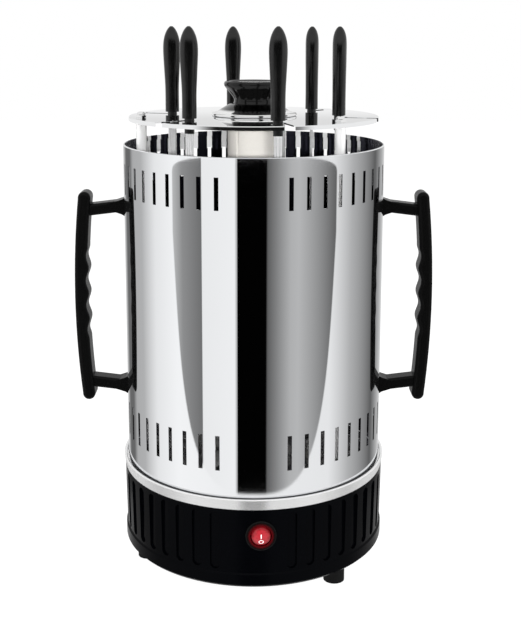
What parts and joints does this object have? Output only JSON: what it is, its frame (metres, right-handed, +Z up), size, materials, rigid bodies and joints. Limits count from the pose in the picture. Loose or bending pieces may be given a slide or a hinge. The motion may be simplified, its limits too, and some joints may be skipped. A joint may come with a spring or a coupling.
{
  "type": "electric skewer grill",
  "caption": "Vertical electric skewer grill: lift-off slotted steel casing with side grips over a fluted black base, geared turning skewers round a central heater, notched top disc with knob.",
  "frame": {"origin": "on the floor, on the casing's axis, under the middle of the base", "axes": "+Z up along the casing's axis, -Y towards the front panel with the switch, +X towards the right grip"},
  "size_m": [0.2796, 0.2106, 0.417],
  "materials": {
    "black_plastic": "glossy moulded black",
    "polished_steel": "mirror polished",
    "satin_steel": "satin",
    "grip_plastic": "satin black",
    "gloss_black": "high gloss",
    "chrome": "mirror",
    "rubber": "matt",
    "zinc_steel": "zinc plated",
    "screw_steel": "bright",
    "gear_plastic": "natural acetal",
    "ceramic": "glazed cream ceramic",
    "quartz": "clear",
    "resistance_wire": "oxidised",
    "red_plastic": "translucent red",
    "terminal_plastic": "white",
    "lead_insulation": "silicone",
    "cup_aluminium": "spun",
    "blade_steel": "ground",
    "handle_black": "satin black"
  },
  "bodies": {
    "root": {"base_housing": "black_plastic", "bottom_cover": "black_plastic", "rubber_feet": "rubber", "cover_screws": "screw_steel", "chassis_plate": "zinc_steel", "centre_pillar": "zinc_steel", "gear_retainer": "zinc_steel", "motor_body": "zinc_steel", "motor_screws": "screw_steel", "drip_tray": "satin_steel", "spindle_bushes": "gear_plastic", "support_posts": "screw_steel", "post_nuts": "chrome", "top_disc": "polished_steel", "knob_saucer": "chrome", "knob": "gloss_black", "knob_screw": "screw_steel", "heater_socket": "ceramic", "heater_cap": "ceramic", "quartz_tube": "quartz", "heater_core": "ceramic", "heater_coil": "resistance_wire", "switch_body": "gloss_black", "cord_gland": "gloss_black", "terminal_block": "terminal_plastic", "lead_wires": "lead_insulation"},
    "drive_gear": {"sun_gear": "gear_plastic"},
    "pinion": {"motor_pinion": "gear_plastic"},
    "casing": {"casing_shell": "polished_steel", "right_handle": "grip_plastic", "left_handle": "grip_plastic", "handle_screws": "screw_steel"},
    "rocker": {"rocker": "red_plastic"},
    "spindle_body_1": {"spindle_1": "gear_plastic", "drip_cup_1": "cup_aluminium"},
    "skewer_1": {"skewer_blade_1": "blade_steel", "skewer_handle_1": "handle_black"},
    "spindle_body_2": {"spindle_2": "gear_plastic", "drip_cup_2": "cup_aluminium"},
    "skewer_2": {"skewer_blade_2": "blade_steel", "skewer_handle_2": "handle_black"},
    "spindle_body_3": {"spindle_3": "gear_plastic", "drip_cup_3": "cup_aluminium"},
    "skewer_3": {"skewer_blade_3": "blade_steel", "skewer_handle_3": "handle_black"},
    "spindle_body_4": {"spindle_4": "gear_plastic", "drip_cup_4": "cup_aluminium"},
    "skewer_4": {"skewer_blade_4": "blade_steel", "skewer_handle_4": "handle_black"},
    "spindle_body_5": {"spindle_5": "gear_plastic", "drip_cup_5": "cup_aluminium"},
    "skewer_5": {"skewer_blade_5": "blade_steel", "skewer_handle_5": "handle_black"},
    "spindle_body_6": {"spindle_6": "gear_plastic", "drip_cup_6": "cup_aluminium"},
    "skewer_6": {"skewer_blade_6": "blade_steel", "skewer_handle_6": "handle_black"}
  },
  "joints": [
    {"name": "drive_gear_spin", "type": "hinge", "parent": "root", "child": "drive_gear", "pos_m": [0, 0, 0.03], "axis": [0, 0, 1], "continuous": true},
    {"name": "motor_spin", "type": "hinge", "parent": "root", "child": "pinion", "pos_m": [0.05023, 0.01346, 0.03], "axis": [0, 0, 1], "continuous": true},
    {"name": "spindle_spin_1", "type": "hinge", "parent": "root", "child": "spindle_body_1", "pos_m": [0.01708, -0.06375, 0.03], "axis": [0, 0, 1], "continuous": true},
    {"name": "spindle_spin_2", "type": "hinge", "parent": "root", "child": "spindle_body_2", "pos_m": [0.06375, -0.01708, 0.03], "axis": [0, 0, 1], "continuous": true},
    {"name": "spindle_spin_3", "type": "hinge", "parent": "root", "child": "spindle_body_3", "pos_m": [0.04667, 0.04667, 0.03], "axis": [0, 0, 1], "continuous": true},
    {"name": "spindle_spin_4", "type": "hinge", "parent": "root", "child": "spindle_body_4", "pos_m": [-0.01708, 0.06375, 0.03], "axis": [0, 0, 1], "continuous": true},
    {"name": "spindle_spin_5", "type": "hinge", "parent": "root", "child": "spindle_body_5", "pos_m": [-0.06375, 0.01708, 0.03], "axis": [0, 0, 1], "continuous": true},
    {"name": "spindle_spin_6", "type": "hinge", "parent": "root", "child": "spindle_body_6", "pos_m": [-0.04667, -0.04667, 0.03], "axis": [0, 0, 1], "continuous": true},
    {"name": "skewer_lift_1", "type": "slide", "parent": "spindle_body_1", "child": "skewer_1", "axis": [0, 0, 1], "range_m": [0, 0.262]},
    {"name": "skewer_lift_2", "type": "slide", "parent": "spindle_body_2", "child": "skewer_2", "axis": [0, 0, 1], "range_m": [0, 0.262]},
    {"name": "skewer_lift_3", "type": "slide", "parent": "spindle_body_3", "child": "skewer_3", "axis": [0, 0, 1], "range_m": [0, 0.262]},
    {"name": "skewer_lift_4", "type": "slide", "parent": "spindle_body_4", "child": "skewer_4", "axis": [0, 0, 1], "range_m": [0, 0.262]},
    {"name": "skewer_lift_5", "type": "slide", "parent": "spindle_body_5", "child": "skewer_5", "axis": [0, 0, 1], "range_m": [0, 0.262]},
    {"name": "skewer_lift_6", "type": "slide", "parent": "spindle_body_6", "child": "skewer_6", "axis": [0, 0, 1], "range_m": [0, 0.262]},
    {"name": "casing_lift", "type": "slide", "parent": "root", "child": "casing", "axis": [0, 0, 1], "range_m": [0, 0.345]},
    {"name": "rocker_tilt", "type": "hinge", "parent": "root", "child": "rocker", "pos_m": [0.00531, -0.10141, 0.056], "axis": [-0.9986, -0.0523, 0], "range_deg": [0, 16]}
  ],
  "couplings": [
    {"joint": "motor_spin", "follows": "drive_gear_spin", "ratio": -3.3333},
    {"joint": "spindle_spin_1", "follows": "drive_gear_spin", "ratio": -1.75},
    {"joint": "spindle_spin_2", "follows": "drive_gear_spin", "ratio": -1.75},
    {"joint": "spindle_spin_3", "follows": "drive_gear_spin", "ratio": -1.75},
    {"joint": "spindle_spin_4", "follows": "drive_gear_spin", "ratio": -1.75},
    {"joint": "spindle_spin_5", "follows": "drive_gear_spin", "ratio": -1.75},
    {"joint": "spindle_spin_6", "follows": "drive_gear_spin", "ratio": -1.75}
  ]
}
